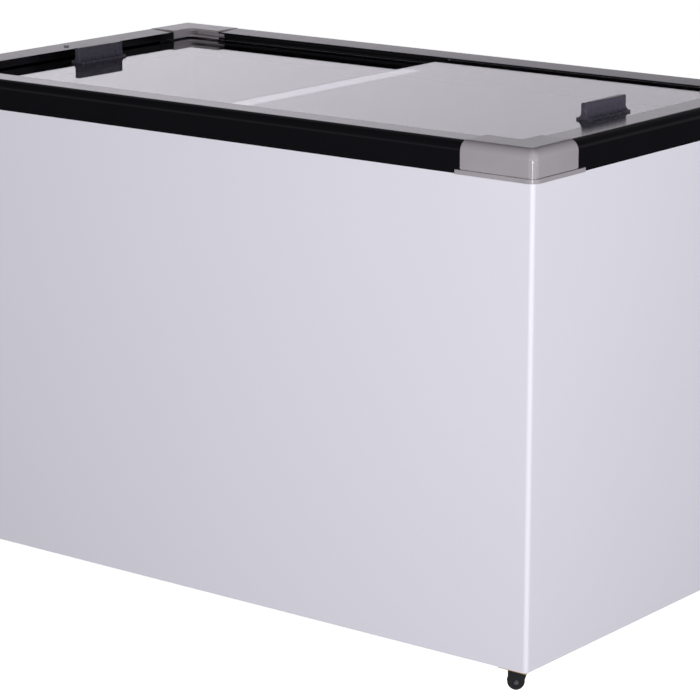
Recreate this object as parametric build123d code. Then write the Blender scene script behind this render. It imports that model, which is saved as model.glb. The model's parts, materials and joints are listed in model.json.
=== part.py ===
from build123d import *
import math
import os

os.makedirs("parts", exist_ok=True)

# Chest freezer with two flat glass lids that slide over each other, on four swivel casters.
# Millimetres. +X is to the right, +Y to the rear, +Z up; the front faces -Y.
# The origin is on the floor, under the centre of the cabinet.

# ---- cabinet and top frame
FRAME_L, FRAME_D, FRAME_H = 1250.0, 710.3, 47.2  # the black rails, over their outer faces
FRAME_W = 63.5  # width of a rail, seen from above
CASTER_DROP = 38.8  # floor to the cabinet's underside
CABINET_H = 724.5  # cabinet's underside to the rails' underside
OVERHANG = 3.4  # how far the rails stand out beyond the painted sheet
SHEET = 0.8
FLANGE = 20.0  # width of the sheet's turned-in edges
BEND_R = 7.0  # vertical bends at the two front corners

# ---- tank
TANK_X, TANK_Y = 559.0, 288.0  # half sizes inside
FLOOR_T = 60.0  # cabinet's underside to the tank's floor
STEP_X, STEP_H = -283.0, 318.0  # the tank's floor steps up left of STEP_X, to this height
LINER_T = 1.0
LINER_RIM = 24.0  # flange round the tank's mouth, under the rails
TANK_R = 14.0

# ---- compressor compartment, under the step at the left end
ROOM_X, ROOM_H = -333.0, 270.0

# ---- rail section: u runs inward from the outer face, v up from the underside
TOP_R = 14.8  # rounded outer top edge
TOP_FALL = 2.15  # degrees; the rails' tops fall this much towards the glass
BEAD_H, GROOVE_H, GROOVE_D = 5.0, 1.6, 1.2
RAIL_WALL = 3.0
LID_T, LID_PLAY = 4.0, 0.5
UPPER_V, LOWER_V = 40.7, 30.4  # top faces of the two lids
TRACK_H = 7.0
SIDE_TRACK, END_TRACK = 16.0, 32.5  # depth of the lid tracks in the long and the end rails
PLUG_U, PLUG_Y, PLUG_R, PLUG_H = 38.5, -7.0, 4.5, 2.0

# ---- corner caps
ARM_X, ARM_Y = 127.0, 109.0  # block length from the corner, along the long and the end rails
LIP_X, LIP_Y, LIP_H = 136.0, 126.0, 6.4  # the bottom lip runs on past the block to here
CAP_OUT, CAP_UP, LIP_OUT = 1.0, 0.6, 4.5
CAP_R, WELL_R = 12.0, 9.0  # outer and inner vertical edges of the corner
CAP_WALL, CAP_ROOF = 5.0, 11.4
SEAM = 1.4  # gap between a cap and the rails
CREASE_H, CREASE_D = 1.0, 1.2  # line between a cap's block and its lip

# ---- lids
LID_L, LID_HALF_Y = 593.0, 305.5
UPPER_X, LOWER_X = -3.0, -583.0  # left edge of each lid
HANDLE_L, HANDLE_H, HANDLE_T = 109.0, 25.5, 10.0
HANDLE_FOOT, HANDLE_LIP = 27.0, 3.0
UPPER_HANDLE_X, UPPER_HANDLE_Y = 517.0, -15.0
LOWER_HANDLE_X, LOWER_HANDLE_Y = -511.0, -7.0

# ---- casters
CASTER_X, CASTER_Y = 590.5, 319.5  # kingpins, from the centre
CASTER_TURN = -52.0  # degrees; how far the forks are swivelled
PLATE, PLATE_T, PLATE_H = 49.0, 2.5, 4.5
WHEEL_R, WHEEL_W, TRAIL = 13.0, 12.0, 7.5
FORK_SIDE, FORK_GAP, FORK_END_R = 2.5, 1.0, 11.5
KINGPIN_R = 3.0
AXLE_R, AXLE_PLAY = 2.0, 0.05
SCREW_X, SCREW_Y, SCREW_R = 19.5, 17.0, 2.5

# ---- cooling unit
COMPRESSOR_X, COMPRESSOR_Y, COMPRESSOR_R, COMPRESSOR_H = -470.0, 150.0, 75.0, 165.0
FAN_X, FAN_Y, FAN_Z, FAN_R = -545.0, -180.0, 148.0, 66.0
COIL_X, COIL_Y0, COIL_Y1, COIL_Z0 = -582.0, -275.0, -85.0, 88.0
PASS_PITCH, PASSES = 24.0, 6
PIPE_R, SUCTION_R, CAPILLARY_R = 4.0, 4.6, 1.5
SUCTION_Z = 268.0  # where the suction line passes through the compartment's wall
DRAIN_X, DRAIN_Y, DRAIN_R = 430.0, -200.0, 10.0
GROMMET_H, FOOT_T = 16.0, 3.0  # under and of the compressor's foot plate
COIL_TAIL, DISCHARGE_Y = 45.0, 20.0
TRAY_T, TRAY_RIM = 1.5, 22.0

# ---- openings and controls at the left end and rear
GRILLE_Y0, GRILLE_Y1, GRILLE_Z0, GRILLE_Z1 = -272.0, -52.0, 86.0, 276.0
RECESS_H = 52.0  # the part of the grille set back for the controls
KNOB_Y, LAMP_Y, KNOB_Z = -120.0, -210.0, 247.5
INLET_X, INLET_Z = -410.0, 108.0
COVER_Z = 150.0  # the rear cover's lower edge; the inlet plate is below it
SLOT_HALF, SLOT_H, SLOT_PITCH, SLOT_ROWS = 34.0, 5.0, 14.0, 9

Z0 = CASTER_DROP
ZF = Z0 + CABINET_H
ZT = ZF + FRAME_H
XS, YS = FRAME_L / 2 - OVERHANG, FRAME_D / 2 - OVERHANG
FLOOR_Z, STEP_Z, ROOM_Z = Z0 + FLOOR_T, Z0 + STEP_H, Z0 + ROOM_H
SLOPE = math.tan(math.radians(TOP_FALL))
RIDGE_V = FRAME_H + SLOPE * TOP_R  # where the rails' sloping top would meet their outer face
REAR_Y = YS - SHEET
TRAY_Z = Z0 + SHEET + TRAY_T
FOOT_Z = TRAY_Z + GROMMET_H
COIL_TOP = COIL_Z0 + (PASSES - 1) * PASS_PITCH


def block(x0, x1, y0, y1, z0, z1):
    """A box from its low and high limits."""
    middle = Pos((x0 + x1) / 2, (y0 + y1) / 2, (z0 + z1) / 2)
    return middle * Box(x1 - x0, y1 - y0, z1 - z0)


def rod(radius, start, end):
    """A round bar between two points."""
    a, b = Vector(*start), Vector(*end)
    plane = Plane(origin=a, z_dir=b - a)
    return plane * Pos(0, 0, (b - a).length / 2) * Cylinder(radius, (b - a).length)


def pipe(radius, points, bend):
    """A round tube along straight runs joined by tangent arcs."""
    path = FilletPolyline(*points, radius=bend)
    first = Vector(*points[1]) - Vector(*points[0])
    section = Plane(origin=points[0], z_dir=first) * Circle(radius)
    return sweep(section, path=path)


def upright(solid):
    return solid.edges().filter_by(Axis.Z)


def save(name, *solids):
    shape = solids[0] if len(solids) == 1 else Compound(children=list(solids))
    export_step(shape, f"parts/{name}.step")


# ------------------------------------------------------------------ cabinet


def caster_places():
    return [
        (f"{end}_{side}", sx * CASTER_X, sy * CASTER_Y)
        for end, sy in (("front", -1), ("rear", 1))
        for side, sx in (("left", -1), ("right", 1))
    ]


def screw_places():
    return [
        (x + sx * SCREW_X, y + sy * SCREW_Y)
        for _, x, y in caster_places()
        for sx in (-1, 1)
        for sy in (-1, 1)
    ]


def screw_holes():
    return [rod(SCREW_R, (x, y, Z0 - 4), (x, y, Z0 + 10)) for x, y in screw_places()]


def outer_wrap():
    """One painted sheet bent round the front and both ends, its edges turned in."""
    outer = block(-XS, XS, -YS, YS, Z0, ZF)
    outer = fillet(upright(outer).group_by(Axis.Y)[0], BEND_R)
    core = block(-XS + SHEET, XS - SHEET, -YS + SHEET, YS - SHEET, Z0 + SHEET, ZF - SHEET)
    core = fillet(upright(core).group_by(Axis.Y)[0], BEND_R - SHEET)
    mouth = block(-XS + FLANGE, XS - FLANGE, -YS + FLANGE, YS + 1, Z0 - 1, ZF + 1)
    wrap = outer - core - mouth
    wrap -= block(-XS - 1, -XS + 2, GRILLE_Y0, GRILLE_Y1, GRILLE_Z0, GRILLE_Z1)
    return wrap - screw_holes()


def rear_sheet(x0, x1, z0, z1):
    return block(x0, x1, REAR_Y - SHEET, REAR_Y, z0, z1)


def rear_panel():
    """Flat rear sheet behind the tank."""
    return rear_sheet(ROOM_X, XS - SHEET, Z0 + SHEET, ZF - SHEET)


def compressor_cover():
    """Rear sheet at the compressor's end, with air slots."""
    cover = rear_sheet(-XS + SHEET, ROOM_X, COVER_Z, ZF - SHEET)
    slots = [
        rear_sheet(x - SLOT_HALF, x + SLOT_HALF, z, z + SLOT_H)
        for x in (-560, -480, -400)
        for z in [COVER_Z + SLOT_PITCH * (i + 1) for i in range(SLOT_ROWS)]
    ]
    return cover - slots


def inlet_plate():
    """Strip under the cover that carries the appliance inlet."""
    plate = rear_sheet(-XS + SHEET, ROOM_X, Z0 + SHEET, COVER_Z)
    return plate - rear_sheet(INLET_X - 14, INLET_X + 14, INLET_Z - 10, INLET_Z + 10)


def base_pan():
    """Galvanised sheet under the insulation."""
    pan = block(ROOM_X, XS - SHEET, -YS + SHEET, YS - 2 * SHEET, Z0 + SHEET, Z0 + 2 * SHEET)
    corner = upright(pan).sort_by(lambda e: e.center().Y - e.center().X)[0]
    pan = fillet(corner, BEND_R - SHEET)
    return pan - screw_holes() - rod(DRAIN_R + 2, (DRAIN_X, DRAIN_Y, Z0), (DRAIN_X, DRAIN_Y, Z0 + 3))


def compressor_tray():
    """Steel tray that carries the cooling unit, with turned-up front, rear and inner edges."""
    x0, x1, y0, y1 = -XS + SHEET, ROOM_X, -YS + SHEET, YS - 2 * SHEET
    tray = block(x0, x1, y0, y1, Z0 + SHEET, TRAY_Z)
    corner = upright(tray).sort_by(lambda e: e.center().Y + e.center().X)[0]
    tray = fillet(corner, BEND_R - SHEET)
    rim = [
        block(x0 + 40, x1 - SHEET, y0, y0 + TRAY_T, TRAY_Z, TRAY_Z + TRAY_RIM),
        block(x0 + 40, x1 - SHEET, y1 - TRAY_T, y1, TRAY_Z, TRAY_Z + TRAY_RIM),
        block(x1 - TRAY_T - SHEET, x1 - SHEET, y0, y1, TRAY_Z, TRAY_Z + TRAY_RIM),
    ]
    tray += rim
    bolts = [rod(3.0, (x, y, Z0), (x, y, TRAY_Z + 1)) for x, y in mount_places()]
    vents = [
        block(-600, -520, y, y + 6, Z0, TRAY_Z + 1) for y in [-120 + 16 * i for i in range(8)]
    ]
    return tray - bolts - vents - screw_holes()


def compartment_liner():
    """Sheet that lines the compartment against the insulation: inner wall and ceiling."""
    y0, y1 = -YS + SHEET, YS - 2 * SHEET
    wall = block(ROOM_X - SHEET, ROOM_X, y0, y1, TRAY_Z, ROOM_Z)
    ceiling = block(-XS + SHEET, ROOM_X, y0, y1, ROOM_Z - SHEET, ROOM_Z)
    corner = upright(ceiling).sort_by(lambda e: e.center().Y + e.center().X)[0]
    hole = rod(SUCTION_R, (ROOM_X - 2, 0, SUCTION_Z), (ROOM_X + 1, 0, SUCTION_Z))
    return fillet(corner, BEND_R - SHEET) + wall - hole


def tank(grow=0.0):
    """The tank's volume, grown outward by a wall thickness, open at the top."""
    x, y, z1 = TANK_X + grow, TANK_Y + grow, ZF
    upper = block(-x, x, -y, y, STEP_Z - grow, z1)
    lower = block(STEP_X - grow, x, -y, y, FLOOR_Z - grow, z1)
    lower = fillet(upright(lower).group_by(Axis.X)[-1], TANK_R + grow)
    upper = fillet(upright(upper), TANK_R + grow)
    return upper + lower


def inner_liner():
    """Tank of thin sheet, with a flange under the rails and a drain hole."""
    x, y = TANK_X + LINER_RIM, TANK_Y + LINER_RIM
    flange = block(-x, x, -y, y, ZF - SHEET, ZF)
    liner = flange + tank(LINER_T) - tank()
    return liner - rod(DRAIN_R + 2, (DRAIN_X, DRAIN_Y, FLOOR_Z - 3), (DRAIN_X, DRAIN_Y, FLOOR_Z + 1))


def foam_insulation():
    """Foam that fills the walls between the sheets and the tank."""
    foam = block(-XS + SHEET, XS - SHEET, -YS + SHEET, YS - 2 * SHEET, Z0 + 2 * SHEET, ZF - SHEET)
    foam = fillet(upright(foam).group_by(Axis.Y)[0], BEND_R - SHEET)
    foam -= tank(LINER_T)
    foam -= block(-XS, ROOM_X, -YS, YS, Z0, ROOM_Z)
    foam -= screw_holes()
    return foam - rod(DRAIN_R + 2, (DRAIN_X, DRAIN_Y, Z0), (DRAIN_X, DRAIN_Y, FLOOR_Z))


def left_grille():
    """Moulded louvre panel in the left end, with a recess for the thermostat knob and lamp."""
    y0, y1, z0, z1 = GRILLE_Y0, GRILLE_Y1, GRILLE_Z0, GRILLE_Z1
    x0 = -XS - 2.2
    rim = block(x0, -XS, y0 - 9, y1 + 9, z0 - 9, z1 + 9)
    rim = chamfer(rim.faces().sort_by(Axis.X)[0].edges(), 1.4)
    tub = block(-XS, -XS + 16, y0 + 0.3, y1 - 0.3, z0 + 0.3, z1 - 0.3)
    panel = rim + tub
    split = z1 - RECESS_H
    panel -= block(-XS + 1, -XS + 17, y0 + 3, y1 - 3, z0 + 3, split - 2)
    count = 9
    pitch = (split - 4 - z0 - 6) / count
    for i in range(count):
        z = z0 + 7 + i * pitch
        panel -= block(x0 - 1, -XS + 2, y0 + 6, y1 - 6, z, z + pitch - 5)
    panel -= block(x0 - 1, -XS + 13, y0 + 5, y1 - 5, split, z1 - 5)
    panel -= rod(3.1, (-XS + 10, KNOB_Y, KNOB_Z), (-XS + 18, KNOB_Y, KNOB_Z))
    panel -= rod(4.0, (-XS + 10, LAMP_Y, KNOB_Z), (-XS + 18, LAMP_Y, KNOB_Z))
    return panel


# ------------------------------------------------------------------ top frame


def rail(length, depth, tracks):
    """A hollow rail along X, outer face at y=0, with tracks open on the inner face."""
    half = length / 2
    corners = ((0, 0), (FRAME_W, 0), (FRAME_W, RIDGE_V - FRAME_W * SLOPE), (0, RIDGE_V))
    outline = Polygon(*corners, align=None)
    crown = outline.vertices().sort_by(lambda v: v.Y - v.X)[-1]
    outline = fillet(crown, TOP_R)
    bar = Pos(-half, 0, 0) * extrude(Plane.YZ * outline, length)
    bar -= block(-half, half, -1, GROOVE_D, BEAD_H, BEAD_H + GROOVE_H)
    inner = FRAME_W - depth - RAIL_WALL
    hollow = block(-half, half, RAIL_WALL, inner, RAIL_WALL, FRAME_H - RAIL_WALL - 1)
    edge = hollow.edges().filter_by(Axis.X).group_by(Axis.Z)[-1].sort_by(Axis.Y)[0]
    bar -= fillet(edge, TOP_R - RAIL_WALL)
    roof = LOWER_V - LID_T - LID_PLAY - RAIL_WALL
    bar -= block(-half, half, inner, FRAME_W - RAIL_WALL, RAIL_WALL, roof)
    for top in tracks:
        low = top - LID_T - LID_PLAY
        bar -= block(-half, half, FRAME_W - depth, FRAME_W + 1, low, low + TRACK_H)
    return bar


def over_slope(face_x, face_y):
    """All that is above the sloping tops of the two rails that meet at a corner cap."""
    reach, start, top = 200.0, TOP_R + CAP_OUT, FRAME_H + CAP_UP
    wedge = Polygon((start, top), (reach, top), (reach, top - (reach - start) * SLOPE), align=None)
    along_x = Pos(face_x, face_y, 0) * extrude(Plane.YZ * wedge, reach)
    along_y = Pos(face_x, face_y, 0) * extrude(Plane.XZ * wedge, -reach)
    return along_x & along_y


def cap_lip(face_x, face_y):
    """Ledge along a cap's foot that runs on over the rails' faces, round at its corner and ends."""
    lip = block(face_x - LIP_OUT, face_x + LIP_X, face_y - LIP_OUT, face_y + LIP_Y, 0, LIP_H)
    foot = upright(lip).sort_by(lambda e: e.center().X + e.center().Y)[0]
    lip = fillet(foot, CAP_R + LIP_OUT - CAP_OUT)
    root = CAP_R + LIP_OUT
    lip -= block(face_x + root, face_x + LIP_X + 1, face_y, face_y + LIP_Y + 1, -1, LIP_H + 1)
    lip -= block(face_x, face_x + LIP_X + 1, face_y + root, face_y + LIP_Y + 1, -1, LIP_H + 1)
    tips = [upright(lip).sort_by(lambda e: e.center().X - e.center().Y)[-1]]
    tips.append(upright(lip).sort_by(lambda e: e.center().Y - e.center().X)[-1])
    return fillet(tips, LIP_OUT - 0.5)


def corner_cap(sx, sy):
    """Moulded corner that joins two rails; sx and sy say which corner."""
    face_x, face_y = -FRAME_L / 2, -FRAME_D / 2
    x0, y0 = face_x - CAP_OUT, face_y - CAP_OUT
    arm_x, arm_y = face_x + ARM_X, face_y + ARM_Y
    inside_x, inside_y = face_x + FRAME_W, face_y + FRAME_W
    top = FRAME_H + CAP_UP
    cap = block(x0, arm_x, y0, arm_y, 0, top)
    crown = cap.faces().sort_by(Axis.Z)[-1].edges()
    near = [crown.sort_by(Axis.X)[0], crown.sort_by(Axis.Y)[0]]
    cap = fillet(near, TOP_R + CAP_OUT)
    chain = cap.edges().sort_by(lambda e: e.center().X + e.center().Y)[:2]
    cap = fillet(chain, CAP_R)
    cap -= over_slope(x0, y0)
    well = block(inside_x, arm_x + 1, inside_y, arm_y + 1, -1, top + 1)
    corner = upright(well).sort_by(lambda e: e.center().X + e.center().Y)[0]
    cap -= fillet(corner, WELL_R)
    low_x, low_y, roof = x0 + CAP_WALL, y0 + CAP_WALL, top - CAP_ROOF
    cap -= block(low_x, arm_x - 3, low_y, inside_y - SIDE_TRACK - CAP_WALL, 3, roof)
    cap -= block(low_x, inside_x - END_TRACK - CAP_WALL, low_y, arm_y - 3, 3, roof)
    crease_x = block(x0 - 1, arm_x + 1, y0 - 1, y0 + CREASE_D, LIP_H, LIP_H + CREASE_H)
    crease_y = block(x0 - 1, x0 + CREASE_D, y0 - 1, arm_y + 1, LIP_H, LIP_H + CREASE_H)
    cap -= [crease_x, crease_y]
    cap += cap_lip(face_x, face_y)
    end_track = UPPER_V if sx > 0 else LOWER_V
    for level in (UPPER_V, LOWER_V):
        low = level - LID_T - LID_PLAY
        start = inside_x - (END_TRACK if level == end_track else 0)
        side = inside_y - SIDE_TRACK
        cap -= block(start, arm_x + 1, side, inside_y + WELL_R + 1, low, low + TRACK_H)
        if level == end_track:
            cap -= block(start, inside_x + WELL_R + 1, side, arm_y + 1, low, low + TRACK_H)
    if sx > 0:
        cap = mirror(cap, Plane.YZ)
    if sy > 0:
        cap = mirror(cap, Plane.XZ)
    return Pos(0, 0, ZF) * cap


def frame_rails():
    long_bar = rail(FRAME_L - 2 * (ARM_X + SEAM), SIDE_TRACK, (UPPER_V, LOWER_V))
    end_length = FRAME_D - 2 * (ARM_Y + SEAM)
    left_bar = rail(end_length, END_TRACK, (LOWER_V,))
    right_bar = rail(end_length, END_TRACK, (UPPER_V,))
    return {
        "front_rail": Pos(0, -FRAME_D / 2, ZF) * long_bar,
        "rear_rail": Pos(0, FRAME_D / 2, ZF) * Rot(0, 0, 180) * long_bar,
        "left_rail": Pos(-FRAME_L / 2, 0, ZF) * Rot(0, 0, -90) * left_bar,
        "right_rail": Pos(FRAME_L / 2, 0, ZF) * Rot(0, 0, 90) * right_bar,
    }


def rail_plug():
    """Domed screw plug on top of the left rail, square to its sloping face."""
    dome = Cylinder(PLUG_R, PLUG_H, align=(Align.CENTER, Align.CENTER, Align.MIN))
    dome = fillet(dome.edges().group_by(Axis.Z)[-1], 1.6)
    x, z = -FRAME_L / 2 + PLUG_U, ZF + RIDGE_V - PLUG_U * SLOPE
    return Pos(x, PLUG_Y, z) * Rot(0, TOP_FALL, 0) * dome


# ------------------------------------------------------------------ lids


def lid_glass(x0, level):
    top = ZF + level
    pane = block(x0, x0 + LID_L, -LID_HALF_Y, LID_HALF_Y, top - LID_T, top)
    pane = fillet(upright(pane), 4.0)
    return chamfer(pane.faces().sort_by(Axis.Z)[-1].edges(), 0.6)


def lid_handle(x, y, level):
    """Extruded grip: an upright plate on a foot with hollowed flanks."""
    foot, lip = HANDLE_FOOT / 2, HANDLE_LIP
    plate, scoop = HANDLE_T / 2, HANDLE_FOOT / 2 - HANDLE_T / 2 - 0.6
    base = block(-foot, foot, 0, HANDLE_L, 0, lip + scoop)
    for side in (-1, 1):
        middle = side * (plate + scoop)
        groove = rod(scoop, (middle, -1, lip + scoop), (middle, HANDLE_L + 1, lip + scoop))
        outside = sorted((middle, side * (foot + 1)))
        base -= groove + block(*outside, -1, HANDLE_L + 1, lip, lip + scoop + 1)
    grip = base + block(-plate, plate, 0, HANDLE_L, 0, HANDLE_H)
    return Pos(x, y - HANDLE_L / 2, ZF + level) * grip


# ------------------------------------------------------------------ casters


def caster_plate():
    """Top plate with turned-down front and rear edges and the kingpin rivet."""
    half, wall = PLATE / 2, PLATE_T
    plate = block(-half, half, -half, half, -wall, 0)
    plate += [
        block(-half, half, -half, -half + wall, -PLATE_H, 0),
        block(-half, half, half - wall, half, -PLATE_H, 0),
    ]
    plate = fillet(plate.edges().filter_by(Axis.X).group_by(Axis.Z)[-1], 2.0)
    plate += rod(11.0, (0, 0, -wall - 0.9), (0, 0, -wall))
    plate += rod(KINGPIN_R, (0, 0, -wall - 4.4), (0, 0, -wall))
    plate += rod(KINGPIN_R + 2, (0, 0, -wall - 4.4), (0, 0, -wall - 3.4))
    for sx in (-1, 1):
        for sy in (-1, 1):
            plate -= Pos(sx * SCREW_X, sy * SCREW_Y, 0) * Cylinder(SCREW_R, 3 * PLATE_T)
    return plate


def caster_fork(outside, axle_z):
    """Deep fork whose cheeks are nearly as broad as the wheel and round at the bottom."""
    inside, front, rear = outside - FORK_SIDE, -TRAIL - FORK_END_R, 8.0
    top = -PLATE_T - 1
    corners = ((rear, top), (front, top), (front, axle_z), (front + 2 * FORK_END_R, axle_z), (rear, -12))
    cheek = Polygon(*corners, align=None) + Pos(-TRAIL, axle_z) * Circle(FORK_END_R)
    fork = Pos(-outside, 0, 0) * extrude(Plane.YZ * cheek, 2 * outside)
    fork -= block(-inside, inside, -40, 30, -CASTER_DROP, top - 2)
    fork -= Pos(0, 0, top - 1) * Cylinder(KINGPIN_R + AXLE_PLAY, 4)
    return fork - rod(AXLE_R, (-outside - 1, -TRAIL, axle_z), (outside + 1, -TRAIL, axle_z))


def caster_wheel():
    wheel = Rot(0, 90, 0) * Cylinder(WHEEL_R, WHEEL_W)
    wheel = fillet(wheel.edges(), 2.0)
    for sign in (-1, 1):
        ring = Rot(0, 90, 0) * (Cylinder(9.0, 3) - Cylinder(4.5, 3))
        wheel -= Pos(sign * WHEEL_W / 2, 0, 0) * ring
    return wheel - Rot(0, 90, 0) * Cylinder(AXLE_R + AXLE_PLAY, 2 * WHEEL_W)


def caster(x, y):
    """Plate, fork, axle and wheel of one caster; the wheel trails behind the kingpin."""
    axle_z = WHEEL_R - CASTER_DROP
    outside = WHEEL_W / 2 + FORK_GAP + FORK_SIDE
    axle = rod(AXLE_R, (-outside - 0.6, -TRAIL, axle_z), (outside + 0.6, -TRAIL, axle_z))
    for sign in (-1, 1):
        axle += rod(3.4, (sign * outside, -TRAIL, axle_z), (sign * (outside + 0.6), -TRAIL, axle_z))
    place = Pos(x, y, Z0)
    turned = place * Rot(0, 0, CASTER_TURN)
    return {
        "plate": place * caster_plate(),
        "fork": turned * caster_fork(outside, axle_z),
        "axle": turned * axle,
        "wheel": turned * Pos(0, -TRAIL, axle_z) * caster_wheel(),
    }


def caster_screws():
    screws = []
    for x, y in screw_places():
        head = Pos(x, y, Z0 - PLATE_T - 1.5) * extrude(RegularPolygon(4.0, 6), 1.5, both=True)
        screws.append(head + rod(SCREW_R, (x, y, Z0 - PLATE_T - 1), (x, y, Z0 + 8)))
    return screws


# ------------------------------------------------------------------ cooling unit


def mount_places():
    return [(COMPRESSOR_X + sx * 80, COMPRESSOR_Y + sy * 58) for sx in (-1, 1) for sy in (-1, 1)]


def compressor():
    """Welded steel shell on a foot plate, with three pipe stubs."""
    x, y, z = COMPRESSOR_X, COMPRESSOR_Y, FOOT_Z + FOOT_T
    shell = fillet(Cylinder(COMPRESSOR_R, COMPRESSOR_H).edges(), 34.0)
    shell += Cylinder(COMPRESSOR_R + 2.5, 5.0)
    shell = Pos(x, y, z + COMPRESSOR_H / 2 - 4) * shell
    foot = block(x - 96, x + 96, y - 72, y + 72, FOOT_Z, z)
    foot = fillet(upright(foot), 14.0)
    foot -= [rod(4.0, (px, py, FOOT_Z - 1), (px, py, z + 1)) for px, py in mount_places()]
    shell -= block(x - 96, x + 96, y - 72, y + 72, FOOT_Z - 20, FOOT_Z + 1)
    stubs = [rod(SUCTION_R, (x + 20, y - 60, z + 95), (x + 20, y - 92, z + 95))]
    stubs.append(rod(PIPE_R, (x - 20, y - 60, z + 60), (x - 20, y - 92, z + 60)))
    return foot + shell + stubs


def compressor_grommets():
    pads = []
    for x, y in mount_places():
        pad = rod(12.0, (x, y, TRAY_Z), (x, y, FOOT_Z))
        waist = rod(13.0, (x, y, TRAY_Z + 6), (x, y, TRAY_Z + 10))
        pad -= waist - rod(9.5, (x, y, TRAY_Z), (x, y, FOOT_Z))
        pads.append(pad - rod(3.0, (x, y, TRAY_Z - 1), (x, y, FOOT_Z + 1)))
    return pads


def compressor_bolts():
    bolts = []
    for x, y in mount_places():
        top = FOOT_Z + FOOT_T
        nut = Pos(x, y, top) * extrude(RegularPolygon(6.4, 6), 5.0)
        washer = rod(9.0, (x, y, top), (x, y, top + 1.2))
        shank = rod(3.0, (x, y, Z0 + SHEET), (x, y, top + 8))
        head = Pos(x, y, Z0 + SHEET - 3) * extrude(RegularPolygon(6.0, 6), 3.0)
        bolts.append(shank + nut + washer + head)
    return bolts


def relay_box():
    """Starter and terminal cover on the compressor's side."""
    x, y, z = COMPRESSOR_X + 40, COMPRESSOR_Y, FOOT_Z + 60
    cover = block(x, x + 62, y - 26, y + 26, z, z + 62)
    cover = fillet(cover.faces().sort_by(Axis.X)[-1].edges(), 5.0)
    return cover - compressor()


def condenser_tube():
    """Serpentine of level passes, in at the bottom and out at the top."""
    points = [(COIL_X, COIL_Y1 + COIL_TAIL, COIL_Z0)]
    for i in range(PASSES - 1):
        y = (COIL_Y0, COIL_Y1)[i % 2]
        z = COIL_Z0 + i * PASS_PITCH
        points += [(COIL_X, y, z), (COIL_X, y, z + PASS_PITCH)]
    points.append((COIL_X, COIL_Y1 + COIL_TAIL, COIL_TOP))
    return pipe(PIPE_R, points, PASS_PITCH / 2 - 0.01)


def condenser_fins():
    """Thin aluminium fins threaded on the condenser's straight passes."""
    fins = []
    count, first, last = 20, COIL_Y0 + 22, COIL_Y1 - 22
    for i in range(count):
        y = first + (last - first) * i / (count - 1)
        fin = block(COIL_X - 19, COIL_X + 19, y - 0.3, y + 0.3, COIL_Z0 - 12, COIL_TOP + 12)
        holes = [
            rod(PIPE_R, (COIL_X, y - 1, COIL_Z0 + k * PASS_PITCH), (COIL_X, y + 1, COIL_Z0 + k * PASS_PITCH))
            for k in range(PASSES)
        ]
        fins.append(fin - holes)
    return fins


def fan_shroud():
    """Sheet plate with a round mouth behind the condenser, and two arms for the motor."""
    x = COIL_X + 21
    plate = block(x, x + 1.5, COIL_Y0, COIL_Y1, TRAY_Z, COIL_TOP + 12)
    plate -= rod(FAN_R + 4, (x - 1, FAN_Y, FAN_Z), (x + 3, FAN_Y, FAN_Z))
    x1 = FAN_X + 14
    arms = []
    for y in (FAN_Y - 82, FAN_Y + 80):
        arms.append(block(x, x1 + 2, y, y + 2, FAN_Z - 10, FAN_Z + 10))
    bridge = block(x1, x1 + 2, FAN_Y - 82, FAN_Y + 82, FAN_Z - 10, FAN_Z + 10)
    bridge -= rod(9.0, (x1 - 1, FAN_Y, FAN_Z), (x1 + 3, FAN_Y, FAN_Z))
    return plate + arms + bridge


def fan_motor():
    """Shaded-pole motor can behind the bridge, bored for its shaft."""
    x = FAN_X + 16
    can = rod(26.0, (x, FAN_Y, FAN_Z), (x + 44, FAN_Y, FAN_Z))
    can = fillet(can.edges(), 4.0)
    can += rod(8.9, (x - 5, FAN_Y, FAN_Z), (x + 1, FAN_Y, FAN_Z))
    return can - rod(3.0 + AXLE_PLAY, (x - 6, FAN_Y, FAN_Z), (x + 30, FAN_Y, FAN_Z))


def fan_shaft():
    return rod(3.0, (FAN_X - 10, FAN_Y, FAN_Z), (FAN_X + 44, FAN_Y, FAN_Z))


def fan_blade():
    """Five pitched blades on a hub, turning about X."""
    hub = rod(15.0, (0, 0, 0), (12, 0, 0))
    hub = fillet(hub.edges().group_by(Axis.X)[0], 3.0)
    blades = []
    for i in range(5):
        blade = Pos(6, 0, FAN_R / 2 + 5) * Rot(0, 0, 32) * Box(1.6, 34, FAN_R - 10)
        blades.append(Rot(72 * i, 0, 0) * blade)
    fan = (hub + blades) - rod(3.0, (-1, 0, 0), (13, 0, 0))
    disc = rod(FAN_R, (-12, 0, 0), (24, 0, 0))
    return Pos(FAN_X - 9, FAN_Y, FAN_Z) * (fan & disc)


def filter_drier():
    """Copper drier on the condenser's outlet, with the capillary that leaves it."""
    y0 = COIL_Y1 + COIL_TAIL
    y1 = y0 + 70
    body = fillet(rod(9.0, (COIL_X, y0, COIL_TOP), (COIL_X, y1, COIL_TOP)).edges(), 4.5)
    top = ROOM_Z - 14
    points = [(COIL_X, y1 - 2, COIL_TOP), (COIL_X, y1 + 30, COIL_TOP), (COIL_X, y1 + 30, top)]
    points.append((ROOM_X - SHEET, y1 + 30, top))
    return body + pipe(CAPILLARY_R, points, 14.0)


def discharge_line():
    """Compressor to condenser."""
    start = (COMPRESSOR_X - 20, COMPRESSOR_Y - 92, FOOT_Z + FOOT_T + 60)
    points = [
        start,
        (start[0], DISCHARGE_Y, start[2]),
        (start[0], DISCHARGE_Y, COIL_Z0),
        (COIL_X, DISCHARGE_Y, COIL_Z0),
        (COIL_X, COIL_Y1 + COIL_TAIL, COIL_Z0),
    ]
    return pipe(PIPE_R, points, 16.0)


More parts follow.
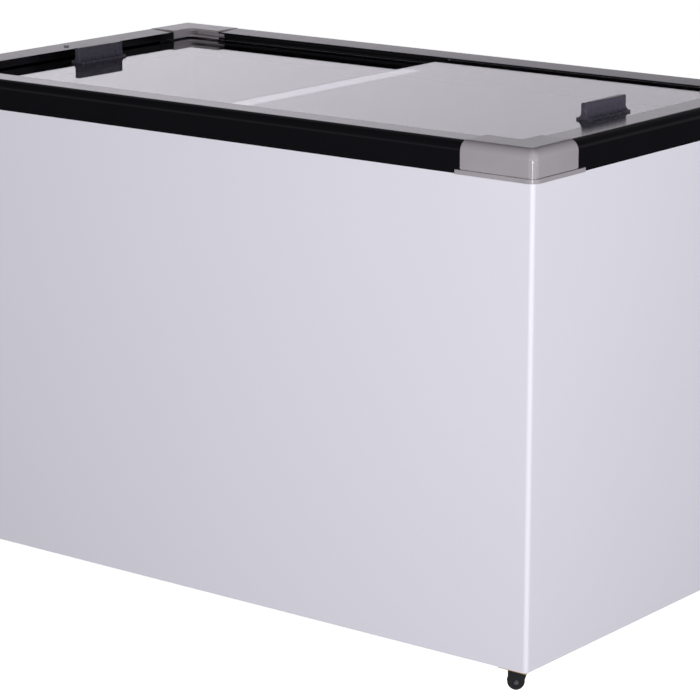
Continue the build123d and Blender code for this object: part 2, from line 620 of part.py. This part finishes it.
def suction_line():
    """Evaporator back to the compressor, through the compartment's inner wall."""
    stub = (COMPRESSOR_X + 20, COMPRESSOR_Y - 92, FOOT_Z + FOOT_T + 95)
    points = [
        stub,
        (stub[0], 0, stub[2]),
        (stub[0], 0, SUCTION_Z),
        (ROOM_X, 0, SUCTION_Z),
    ]
    return pipe(SUCTION_R, points, 16.0)


def evaporator_tube():
    """Tube wound round the tank inside the foam, from the end of the suction line."""
    gap = LINER_T + PIPE_R + 0.3
    x, y = TANK_X + gap, TANK_Y + gap
    turns, rise = 5, 68.0
    z = STEP_Z + 46
    riser = (ROOM_X + STEP_X) / 2
    points = [(ROOM_X, 0, SUCTION_Z), (riser, 0, SUCTION_Z), (riser, -y, SUCTION_Z), (riser, -y, z)]
    for _ in range(turns):
        for px, py in ((x, -y), (x, y), (-x, y), (-x, -y)):
            z += rise / 4
            points.append((px, py, z))
    points.append((0, -y, z + rise / 8))
    corners = [16.0, 16.0, 16.0] + [TANK_R + gap] * (4 * turns)
    return pipe(PIPE_R, points, corners)


def thermostat_body():
    x = -XS + 16
    body = block(x, x + 30, KNOB_Y - 18, KNOB_Y + 18, KNOB_Z - 15, KNOB_Z + 15)
    body += rod(6.0, (x + 28, KNOB_Y, KNOB_Z), (x + 40, KNOB_Y, KNOB_Z))
    return body - rod(3.0 + AXLE_PLAY, (x - 1, KNOB_Y, KNOB_Z), (x + 26, KNOB_Y, KNOB_Z))


def thermostat_knob():
    """Knob with a raised grip bar, on its own spindle."""
    x = -XS + 12.4
    knob = rod(15.0, (x - 5, KNOB_Y, KNOB_Z), (x, KNOB_Y, KNOB_Z))
    knob = fillet(knob.edges().group_by(Axis.X)[0], 1.5)
    knob += block(x - 11, x - 4, KNOB_Y - 3, KNOB_Y + 3, KNOB_Z - 13, KNOB_Z + 13)
    return knob + rod(3.0, (x - 1, KNOB_Y, KNOB_Z), (x + 26, KNOB_Y, KNOB_Z))


def indicator_lamp():
    x = -XS + 13
    lens = rod(5.5, (x - 4, LAMP_Y, KNOB_Z), (x, LAMP_Y, KNOB_Z))
    lens = fillet(lens.edges().group_by(Axis.X)[0], 2.0)
    return lens + rod(4.0, (x - 1, LAMP_Y, KNOB_Z), (x + 16, LAMP_Y, KNOB_Z))


def power_inlet():
    """Appliance inlet flush in the rear panel, with three flat pins."""
    y = YS - SHEET
    body = block(INLET_X - 14, INLET_X + 14, y - 22, y, INLET_Z - 10, INLET_Z + 10)
    rim = block(INLET_X - 25, INLET_X + 25, y, y + 2.4, INLET_Z - 13, INLET_Z + 13)
    body += fillet(rim.edges().filter_by(Axis.Y), 5.0)
    body -= block(INLET_X - 12, INLET_X + 12, y - 17, y + 3, INLET_Z - 8, INLET_Z + 8)
    for dx, dz in ((-7, -2), (7, -2), (0, 3)):
        px, pz = INLET_X + dx, INLET_Z + dz
        body += block(px - 1, px + 1, y - 18, y - 3, pz - 2, pz + 2)
    return body


def drain_tube():
    z0, z1 = Z0 - 6, FLOOR_Z - LINER_T
    tube = rod(DRAIN_R + 2, (DRAIN_X, DRAIN_Y, z0), (DRAIN_X, DRAIN_Y, z1 + LINER_T))
    return tube - rod(DRAIN_R, (DRAIN_X, DRAIN_Y, z0 - 1), (DRAIN_X, DRAIN_Y, z1 + 3))


def drain_plug():
    """Stopper in the tank's floor; its stem runs in the drain tube."""
    z = FLOOR_Z
    flange = rod(19.0, (DRAIN_X, DRAIN_Y, z), (DRAIN_X, DRAIN_Y, z + 3))
    flange = fillet(flange.edges().group_by(Axis.Z)[-1], 1.5)
    stem = rod(DRAIN_R - AXLE_PLAY, (DRAIN_X, DRAIN_Y, z - 26), (DRAIN_X, DRAIN_Y, z + 1))
    bar = block(DRAIN_X - 12, DRAIN_X + 12, DRAIN_Y - 2, DRAIN_Y + 2, z + 2, z + 8)
    return flange + stem + bar


# ------------------------------------------------------------------ write the parts

save("outer_wrap", outer_wrap())
save("rear_panel", rear_panel())
save("compressor_cover", compressor_cover())
save("inlet_plate", inlet_plate())
save("base_pan", base_pan())
save("compressor_tray", compressor_tray())
save("compartment_liner", compartment_liner())
save("foam_insulation", foam_insulation())
save("inner_liner", inner_liner())
save("left_grille", left_grille())

for name, shape in frame_rails().items():
    save(name, shape)
for end, sy in (("front", -1), ("rear", 1)):
    for side, sx in (("left", -1), ("right", 1)):
        save(f"corner_cap_{end}_{side}", corner_cap(sx, sy))
save("rail_plug", rail_plug())

save("upper_lid_glass", lid_glass(UPPER_X, UPPER_V))
save("upper_lid_handle", lid_handle(UPPER_HANDLE_X, UPPER_HANDLE_Y, UPPER_V))
save("lower_lid_glass", lid_glass(LOWER_X, LOWER_V))
save("lower_lid_handle", lid_handle(LOWER_HANDLE_X, LOWER_HANDLE_Y, LOWER_V))

for place, x, y in caster_places():
    for piece, shape in caster(x, y).items():
        save(f"caster_{piece}_{place}", shape)
save("caster_screws", *caster_screws())

save("compressor", compressor())
save("compressor_grommets", *compressor_grommets())
save("compressor_bolts", *compressor_bolts())
save("relay_box", relay_box())
save("condenser_tube", condenser_tube())
save("condenser_fins", *condenser_fins())
save("fan_shroud", fan_shroud())
save("fan_motor", fan_motor())
save("fan_shaft", fan_shaft())
save("fan_blade", fan_blade())
save("filter_drier", filter_drier())
save("discharge_line", discharge_line())
save("suction_line", suction_line())
save("evaporator_tube", evaporator_tube())
save("thermostat_body", thermostat_body())
save("thermostat_knob", thermostat_knob())
save("indicator_lamp", indicator_lamp())
save("power_inlet", power_inlet())
save("drain_tube", drain_tube())
save("drain_plug", drain_plug())
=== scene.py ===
import json
import math

import bpy
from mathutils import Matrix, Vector

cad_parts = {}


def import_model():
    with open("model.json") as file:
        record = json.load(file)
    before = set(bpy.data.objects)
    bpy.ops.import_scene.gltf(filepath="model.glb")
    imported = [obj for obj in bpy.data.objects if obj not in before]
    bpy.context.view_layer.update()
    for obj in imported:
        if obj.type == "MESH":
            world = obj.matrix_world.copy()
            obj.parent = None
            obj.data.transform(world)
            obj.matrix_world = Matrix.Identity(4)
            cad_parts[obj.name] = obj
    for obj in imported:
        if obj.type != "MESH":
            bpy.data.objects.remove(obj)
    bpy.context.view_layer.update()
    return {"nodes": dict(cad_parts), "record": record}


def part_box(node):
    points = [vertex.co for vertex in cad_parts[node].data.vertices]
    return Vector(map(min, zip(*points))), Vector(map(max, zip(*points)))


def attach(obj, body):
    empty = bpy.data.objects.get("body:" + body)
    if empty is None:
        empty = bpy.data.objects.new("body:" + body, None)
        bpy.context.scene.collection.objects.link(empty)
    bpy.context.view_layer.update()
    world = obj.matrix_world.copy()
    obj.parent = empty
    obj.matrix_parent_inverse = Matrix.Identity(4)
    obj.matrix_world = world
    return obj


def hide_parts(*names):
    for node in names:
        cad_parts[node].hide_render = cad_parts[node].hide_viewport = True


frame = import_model()
nodes = frame["nodes"]


# ------------------------------------------------------------------ materials


class Shader:
    """A Principled material with helpers for the nodes that drive it."""

    def __init__(self, name, color, roughness, metallic=0.0, **plain):
        self.material = bpy.data.materials.new(name)
        self.material.use_nodes = True
        self.tree = self.material.node_tree
        self.out = self.tree.nodes["Principled BSDF"]
        self.set("Base Color", (*color, 1.0))
        self.set("Roughness", roughness)
        self.set("Metallic", metallic)
        for key, value in plain.items():
            self.set(key.replace("_", " "), value)
        self.place = self.node("ShaderNodeTexCoord").outputs["Object"]

    def node(self, kind, **settings):
        made = self.tree.nodes.new(kind)
        for key, value in settings.items():
            setattr(made, key, value)
        return made

    def link(self, source, target):
        self.tree.links.new(source, target)

    def set(self, key, value):
        self.out.inputs[key].default_value = value

    def stretched(self, scale):
        mapping = self.node("ShaderNodeMapping")
        mapping.inputs["Scale"].default_value = scale
        self.link(self.place, mapping.inputs["Vector"])
        return mapping.outputs["Vector"]

    def noise(self, scale, detail=3.0, stretch=(1, 1, 1)):
        made = self.node("ShaderNodeTexNoise")
        made.inputs["Scale"].default_value = scale
        made.inputs["Detail"].default_value = detail
        self.link(self.stretched(stretch), made.inputs["Vector"])
        return made.outputs["Fac"]

    def cells(self, scale, feature="F1"):
        made = self.node("ShaderNodeTexVoronoi", feature=feature)
        made.inputs["Scale"].default_value = scale
        self.link(self.place, made.inputs["Vector"])
        return made.outputs["Distance"]

    def ramp(self, source, low, high, start=0.3, end=0.7):
        made = self.node("ShaderNodeMapRange")
        self.link(source, made.inputs["Value"])
        made.inputs["From Min"].default_value = start
        made.inputs["From Max"].default_value = end
        made.inputs["To Min"].default_value = low
        made.inputs["To Max"].default_value = high
        return made.outputs["Result"]

    def vary_roughness(self, source, low, high, start=0.3, end=0.7):
        self.link(self.ramp(source, low, high, start, end), self.out.inputs["Roughness"])

    def vary_color(self, source, dark, light, start=0.3, end=0.7):
        mix = self.node("ShaderNodeMix", data_type="RGBA")
        self.link(self.ramp(source, 0.0, 1.0, start, end), mix.inputs[0])
        mix.inputs[6].default_value = (*dark, 1.0)
        mix.inputs[7].default_value = (*light, 1.0)
        self.link(mix.outputs[2], self.out.inputs["Base Color"])

    def bump(self, source, distance, strength=1.0):
        made = self.node("ShaderNodeBump")
        made.inputs["Distance"].default_value = distance
        made.inputs["Strength"].default_value = strength
        self.link(source, made.inputs["Height"])
        if self.out.inputs["Normal"].links:
            self.link(self.out.inputs["Normal"].links[0].from_socket, made.inputs["Normal"])
        self.link(made.outputs["Normal"], self.out.inputs["Normal"])


def shade(color, factor):
    return tuple(c * factor for c in color)


def white_paint():
    color = (0.70, 0.69, 0.765)
    made = Shader("white_paint", color, 0.34)
    made.vary_color(made.noise(1.7, 4), shade(color, 0.992), shade(color, 1.006))
    made.vary_roughness(made.noise(6.0, 5), 0.32, 0.36)
    made.bump(made.noise(420.0, 2), 0.00002, 0.2)
    return made.material


def satin_plastic(name, color, roughness, grain=1400.0):
    made = Shader(name, color, roughness)
    made.vary_color(made.noise(9.0, 4), shade(color, 0.93), shade(color, 1.05))
    made.vary_roughness(made.noise(60.0, 4), roughness * 0.92, roughness * 1.08)
    made.bump(made.noise(grain, 2), 0.00003, 0.25)
    return made.material


def bare_metal(name, color, roughness, stretch=(1, 1, 1)):
    made = Shader(name, color, roughness, 1.0)
    made.vary_color(made.noise(30.0, 5, stretch), shade(color, 0.85), shade(color, 1.05))
    made.vary_roughness(made.noise(90.0, 4, stretch), roughness * 0.8, roughness * 1.2)
    made.bump(made.noise(500.0, 3, stretch), 0.00005, 0.4)
    return made.material


def galvanised():
    made = Shader("galvanised_steel", (0.56, 0.57, 0.58), 0.42, 1.0)
    made.vary_color(made.cells(60.0), (0.44, 0.45, 0.47), (0.64, 0.65, 0.66), 0.1, 0.8)
    made.vary_roughness(made.cells(60.0), 0.34, 0.5)
    return made.material


def stucco_aluminium():
    color = (0.62, 0.63, 0.64)
    made = Shader("stucco_aluminium", color, 0.38, 1.0)
    made.vary_color(made.noise(20.0, 4), shade(color, 0.93), shade(color, 1.05))
    made.bump(made.cells(210.0, "SMOOTH_F1"), 0.0006, 0.7)
    return made.material


def lid_glass():
    made = Shader("lid_glass", (0.85, 0.85, 0.87), 0.004, Transmission_Weight=1.0, IOR=1.47)
    made.vary_roughness(made.noise(5.0, 3), 0.0, 0.008, 0.45, 0.75)
    return made.material


def foam():
    made = Shader("insulation_foam", (0.72, 0.62, 0.36), 0.9)
    made.vary_color(made.noise(90.0, 5), (0.62, 0.52, 0.28), (0.80, 0.70, 0.44))
    made.bump(made.cells(260.0), 0.0008, 0.6)
    return made.material


MATERIALS = {
    "white_paint": white_paint(),
    "galvanised_steel": galvanised(),
    "stucco_aluminium": stucco_aluminium(),
    "insulation_foam": foam(),
    "black_frame": satin_plastic("black_frame", (0.005, 0.005, 0.0065), 0.17),
    "grey_plastic": satin_plastic("grey_plastic", (0.32, 0.297, 0.322), 0.2, 900.0),
    "lid_glass": lid_glass(),
    "handle_grey": satin_plastic("handle_grey", (0.066, 0.061, 0.084), 0.28),
    "yellow_zinc": satin_plastic("yellow_zinc", (0.60, 0.40, 0.20), 0.35),
    "black_steel": satin_plastic("black_steel", (0.012, 0.012, 0.014), 0.4),
    "zinc_steel": bare_metal("zinc_steel", (0.62, 0.62, 0.64), 0.32),
    "wheel_nylon": satin_plastic("wheel_nylon", (0.01, 0.01, 0.012), 0.45),
    "black_rubber": satin_plastic("black_rubber", (0.015, 0.015, 0.015), 0.75),
    "copper": bare_metal("copper", (0.72, 0.36, 0.22), 0.35),
    "fin_aluminium": bare_metal("fin_aluminium", (0.70, 0.71, 0.72), 0.3, (1, 1, 6)),
    "white_plastic": satin_plastic("white_plastic", (0.66, 0.655, 0.69), 0.4, 900.0),
    "black_plastic": satin_plastic("black_plastic", (0.012, 0.012, 0.013), 0.45),
    "green_lens": satin_plastic("green_lens", (0.03, 0.45, 0.09), 0.15),
}


# ------------------------------------------------------------------ CAD nodes

EDGE_RADII = {"corner_cap": 0.0007, "rail": 0.0003}  # by part of the node's name
WELD_DISTANCE = 0.00001
SOFT_ANGLE = math.radians(35)


def soften(obj, radius):
    """Rounds a node's sharp edges slightly, as moulded and extruded pieces have them."""
    weld = obj.modifiers.new("weld", "WELD")
    weld.merge_threshold = WELD_DISTANCE
    bevel = obj.modifiers.new("bevel", "BEVEL")
    bevel.width, bevel.segments = radius, 2
    bevel.limit_method, bevel.angle_limit = "ANGLE", SOFT_ANGLE
    bevel.use_clamp_overlap = True
    obj.modifiers.new("normals", "WEIGHTED_NORMAL").keep_sharp = False


def dress_cad():
    """Gives every CAD node its slot's material, and the seen mouldings their soft edges."""
    slot_of = {s["node"]: s["material_slot"] for s in frame["record"]["subparts"]}
    for name, obj in nodes.items():
        obj.data.materials.clear()
        obj.data.materials.append(MATERIALS[slot_of[name]])
        for key, radius in EDGE_RADII.items():
            if key in name:
                soften(obj, radius)
    plug = nodes["rail_plug"]
    plug.data.materials[0] = MATERIALS["grey_plastic"]


dress_cad()


# ------------------------------------------------------------------ new objects


def add_object(name, data):
    made = bpy.data.objects.new(name, data)
    bpy.context.scene.collection.objects.link(made)
    return made


def smooth_mesh(name, verts, faces, slot):
    mesh = bpy.data.meshes.new(name)
    mesh.from_pydata(verts, [], faces)
    mesh.polygons.foreach_set("use_smooth", [True] * len(mesh.polygons))
    mesh.materials.append(MATERIALS[slot])
    return mesh


# ------------------------------------------------------------------ lid handles

GRIP_T = 0.010  # thickness of the upright plate
FOOT_LIP, FOOT_FLAT = 0.003, 0.0006  # height of the foot's edge, and the flat on top of it
FLANK_STEPS = 10
ARRIS_R, ARRIS_STEPS = 0.0014, 4
SHARP_ANGLE = math.radians(30)


def quarter(steps):
    """Sine and cosine at even steps from 0 to 90 degrees."""
    return [(math.sin(t), math.cos(t)) for t in (math.pi / 2 * i / steps for i in range(steps + 1))]


def handle_outline(foot, height):
    """Right half of the grip's section, from the top down: rounded plate, hollowed flank, lip."""
    half = GRIP_T / 2
    scoop = foot - half - FOOT_FLAT
    top = [(half - ARRIS_R * (1 - s), height - ARRIS_R * (1 - c)) for s, c in quarter(ARRIS_STEPS)]
    flank = [(half + scoop * (1 - c), FOOT_LIP + scoop * (1 - s)) for s, c in quarter(FLANK_STEPS)]
    return [*top, *flank, (foot, FOOT_LIP), (foot, 0.0)]


def lid_handle(node, body):
    """The extruded grip with its edges rounded, where its plain CAD node is."""
    low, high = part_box(node)
    middle, height = (low[0] + high[0]) / 2, high[2] - low[2]
    right = handle_outline((high[0] - low[0]) / 2, height)
    outline = right + [(-x, z) for x, z in reversed(right)]
    count = len(outline)
    ends = [(ARRIS_R * (1 - s), ARRIS_R * (1 - c)) for s, c in quarter(ARRIS_STEPS)]
    sections = [(low[1] + along, inset) for inset, along in ends]
    sections += [(high[1] - along, inset) for inset, along in reversed(ends)]
    verts = []
    for y, inset in sections:
        for x, z in outline:
            narrowed = math.copysign(abs(x) - inset, x)
            verts.append((middle + narrowed, y, low[2] + min(z, height - inset)))
    faces = [tuple(range(count)), tuple(reversed(range(len(verts) - count, len(verts))))]
    for k in range(len(sections) - 1):
        a, b = k * count, (k + 1) * count
        faces += [(a + i, b + i, b + (i + 1) % count, a + (i + 1) % count) for i in range(count)]
    mesh = smooth_mesh(node + "_grip", verts, faces, "handle_grey")
    mesh.set_sharp_from_angle(angle=SHARP_ANGLE)
    made = add_object(node + "_grip", mesh)
    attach(made, body)
    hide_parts(node)


lid_handle("upper_lid_handle", "right_lid")
lid_handle("lower_lid_handle", "left_lid")


# ------------------------------------------------------------------ fasteners on the rear

MM_PER_M = 1000
RIVET = ((0.0, 0.5), (0.9, 0.5), (1.2, 1.1), (2.2, 1.0), (3.0, 0.5), (3.2, 0.0))  # radius, height in mm
SCREW = ((0.0, 0.7), (1.3, 0.7), (1.5, 1.7), (2.6, 1.5), (3.4, 0.9), (3.7, 0.0))
HEAD_SIDES = 20
WRAP_EDGE, SHEET_EDGE = 0.010, 0.012  # from the edge of the wrap and of a sheet to its fasteners
RIVETS_UP, SCREWS_ACROSS, SCREWS_UP = 6, 4, 4
RIVET_MARGIN = 0.06  # from the wrap's foot and top to its first and last rivet
SCREW_MARGIN = 0.04  # from the cover's outer edge to its first screw
SIDE_SCREWS_FOOT, SIDE_SCREWS_TOP = 0.15, 0.05  # from the cover's foot and top to its side screws


def turned_heads(name, outline, places):
    """Round heads that stand on a rear face, turned from an outline."""
    sides = HEAD_SIDES
    verts, faces = [], []
    for x, y, z in places:
        first = len(verts)
        verts.append((x, y + outline[0][1] / MM_PER_M, z))
        for radius, height in outline[1:]:
            for i in range(sides):
                turn = 2 * math.pi * i / sides
                across, up = radius * math.cos(turn) / MM_PER_M, radius * math.sin(turn) / MM_PER_M
                verts.append((x + across, y + height / MM_PER_M, z + up))
        for i in range(sides):
            j = (i + 1) % sides
            faces.append((first, first + 1 + j, first + 1 + i))
            for ring in range(len(outline) - 2):
                a, b = first + 1 + ring * sides, first + 1 + (ring + 1) * sides
                faces.append((a + i, a + j, b + j, b + i))
        last = first + 1 + (len(outline) - 2) * sides
        faces.append(tuple(last + i for i in range(sides)))
    made = add_object(name, smooth_mesh(name, verts, faces, "zinc_steel"))
    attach(made, "cabinet")


def spread(start, end, count):
    return [start + (end - start) * i / (count - 1) for i in range(count)]


def rear_fasteners():
    wrap_low, wrap_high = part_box("outer_wrap")
    cover_low, cover_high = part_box("compressor_cover")
    plate_low, plate_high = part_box("inlet_plate")
    left, right = wrap_low[0] + WRAP_EDGE, wrap_high[0] - WRAP_EDGE
    levels = spread(wrap_low[2] + RIVET_MARGIN, wrap_high[2] - RIVET_MARGIN, RIVETS_UP)
    turned_heads("rear_rivets", RIVET, [(x, wrap_high[1], z) for x in (left, right) for z in levels])
    inner = cover_high[0] - SHEET_EDGE
    across = spread(cover_low[0] + SCREW_MARGIN, inner, SCREWS_ACROSS)
    places = [(x, cover_high[1], cover_low[2] + SHEET_EDGE) for x in across]
    places += [(x, plate_high[1], plate_high[2] - SHEET_EDGE) for x in across]
    side = spread(cover_low[2] + SIDE_SCREWS_FOOT, cover_high[2] - SIDE_SCREWS_TOP, SCREWS_UP)
    places += [(inner, cover_high[1], z) for z in side]
    turned_heads("cover_screws", SCREW, places)


rear_fasteners()


# ------------------------------------------------------------------ camera, floor and light

CAMERA_PLACE = (2.9490, -3.7711, 1.5519)
CAMERA_AZIMUTH, CAMERA_ELEVATION = math.radians(37.790), math.radians(13.979)
LENS, SENSOR, CLIP_END = 154.725, 36.0, 60.0  # lens and sensor in mm
FLOOR_HALF, FLOOR_GLOW = 12.0, 0.95
WALL_TINT = (1.0, 0.966, 1.047, 1.0)

# name, place, target, size, power in watts
SOFTBOXES = (
    ("key", (2.4, -2.9, 1.0), (0.4, -0.3, 0.4), (1.6, 1.6), 66.0),
    ("fill", (-0.1, -3.5, 1.0), (0.3, -0.3, 0.4), (2.0, 1.8), 60.0),
    ("side", (3.8, 0.0, 1.0), (0.6, -0.1, 0.4), (1.6, 1.4), 77.0),
)
GLINT = ("glint", (2.45, -2.72, 0.34), (0.62, -0.35, 0.75), (0.34, 0.36), 14.0)


def camera():
    azimuth, elevation = CAMERA_AZIMUTH, CAMERA_ELEVATION
    back = Vector(
        (
            math.sin(azimuth) * math.cos(elevation),
            -math.cos(azimuth) * math.cos(elevation),
            math.sin(elevation),
        )
    )
    data = bpy.data.cameras.new("camera")
    data.lens, data.sensor_width = LENS, SENSOR
    data.clip_end = CLIP_END
    made = add_object("camera", data)
    made.location = CAMERA_PLACE
    made.rotation_euler = back.to_track_quat("Z", "Y").to_euler()
    bpy.context.scene.camera = made


def floor():
    """A plain white ground that lights nothing and shows in no reflection."""
    half = FLOOR_HALF
    mesh = bpy.data.meshes.new("floor")
    corners = [(-half, -half, 0), (half, -half, 0), (half, half, 0), (-half, half, 0)]
    mesh.from_pydata(corners, [], [(0, 1, 2, 3)])
    made = add_object("floor", mesh)
    stuff = Shader("floor", (0.86, 0.86, 0.86), 0.9)
    stuff.vary_color(stuff.noise(3.0, 3), (0.85, 0.85, 0.85), (0.87, 0.87, 0.87))
    stuff.set("Emission Color", (1.0, 1.0, 1.0, 1.0))
    stuff.set("Emission Strength", FLOOR_GLOW)
    mesh.materials.append(stuff.material)
    made.visible_glossy = False
    made.visible_diffuse = False


def area_light(name, place, target, size, power, glint=False):
    """A softbox; a glint shows only in glossy surfaces, and the others only light."""
    data = bpy.data.lights.new(name, "AREA")
    data.shape, data.size, data.size_y = "RECTANGLE", size[0], size[1]
    data.energy = power
    made = add_object(name, data)
    made.location = place
    made.rotation_euler = (Vector(place) - Vector(target)).to_track_quat("Z", "Y").to_euler()
    made.visible_glossy = glint
    made.visible_diffuse = not glint


def world():
    """A studio whose only bright wall stands low behind the object, brighter on the left."""
    made = bpy.data.worlds.new("studio")
    bpy.context.scene.world = made
    made.use_nodes = True
    tree = made.node_tree
    background = tree.nodes["Background"]
    direction = tree.nodes.new("ShaderNodeTexCoord").outputs["Generated"]

    def facing(axis, start, end, low, high):
        dot = tree.nodes.new("ShaderNodeVectorMath")
        dot.operation = "DOT_PRODUCT"
        tree.links.new(direction, dot.inputs[0])
        dot.inputs[1].default_value = Vector(axis).normalized()
        span = tree.nodes.new("ShaderNodeMapRange")
        span.interpolation_type = "SMOOTHSTEP"
        tree.links.new(dot.outputs["Value"], span.inputs["Value"])
        for key, value in (("From Min", start), ("From Max", end), ("To Min", low), ("To Max", high)):
            span.inputs[key].default_value = value
        return span.outputs["Result"]

    def times(a, b):
        product = tree.nodes.new("ShaderNodeMath")
        product.operation = "MULTIPLY"
        tree.links.new(a, product.inputs[0])
        tree.links.new(b, product.inputs[1])
        return product.outputs["Value"]

    behind = facing((-0.6, 0.8, 0.0), 0.4, 0.85, 0.16, 1.0)
    left = facing((-0.79, -0.61, 0.0), -0.13, 0.13, 0.75, 1.01)
    above_floor = facing((0, 0, 1), -0.06, 0.0, 0.12, 1.0)
    below_ceiling = facing((0, 0, 1), 0.17, 0.34, 1.0, 0.1)
    wall = times(times(behind, left), times(above_floor, below_ceiling))
    tree.links.new(wall, background.inputs["Strength"])
    background.inputs["Color"].default_value = WALL_TINT


camera()
floor()
world()
for softbox in SOFTBOXES:
    area_light(*softbox)
area_light(*GLINT, glint=True)

bpy.context.scene.view_settings.view_transform = "Standard"
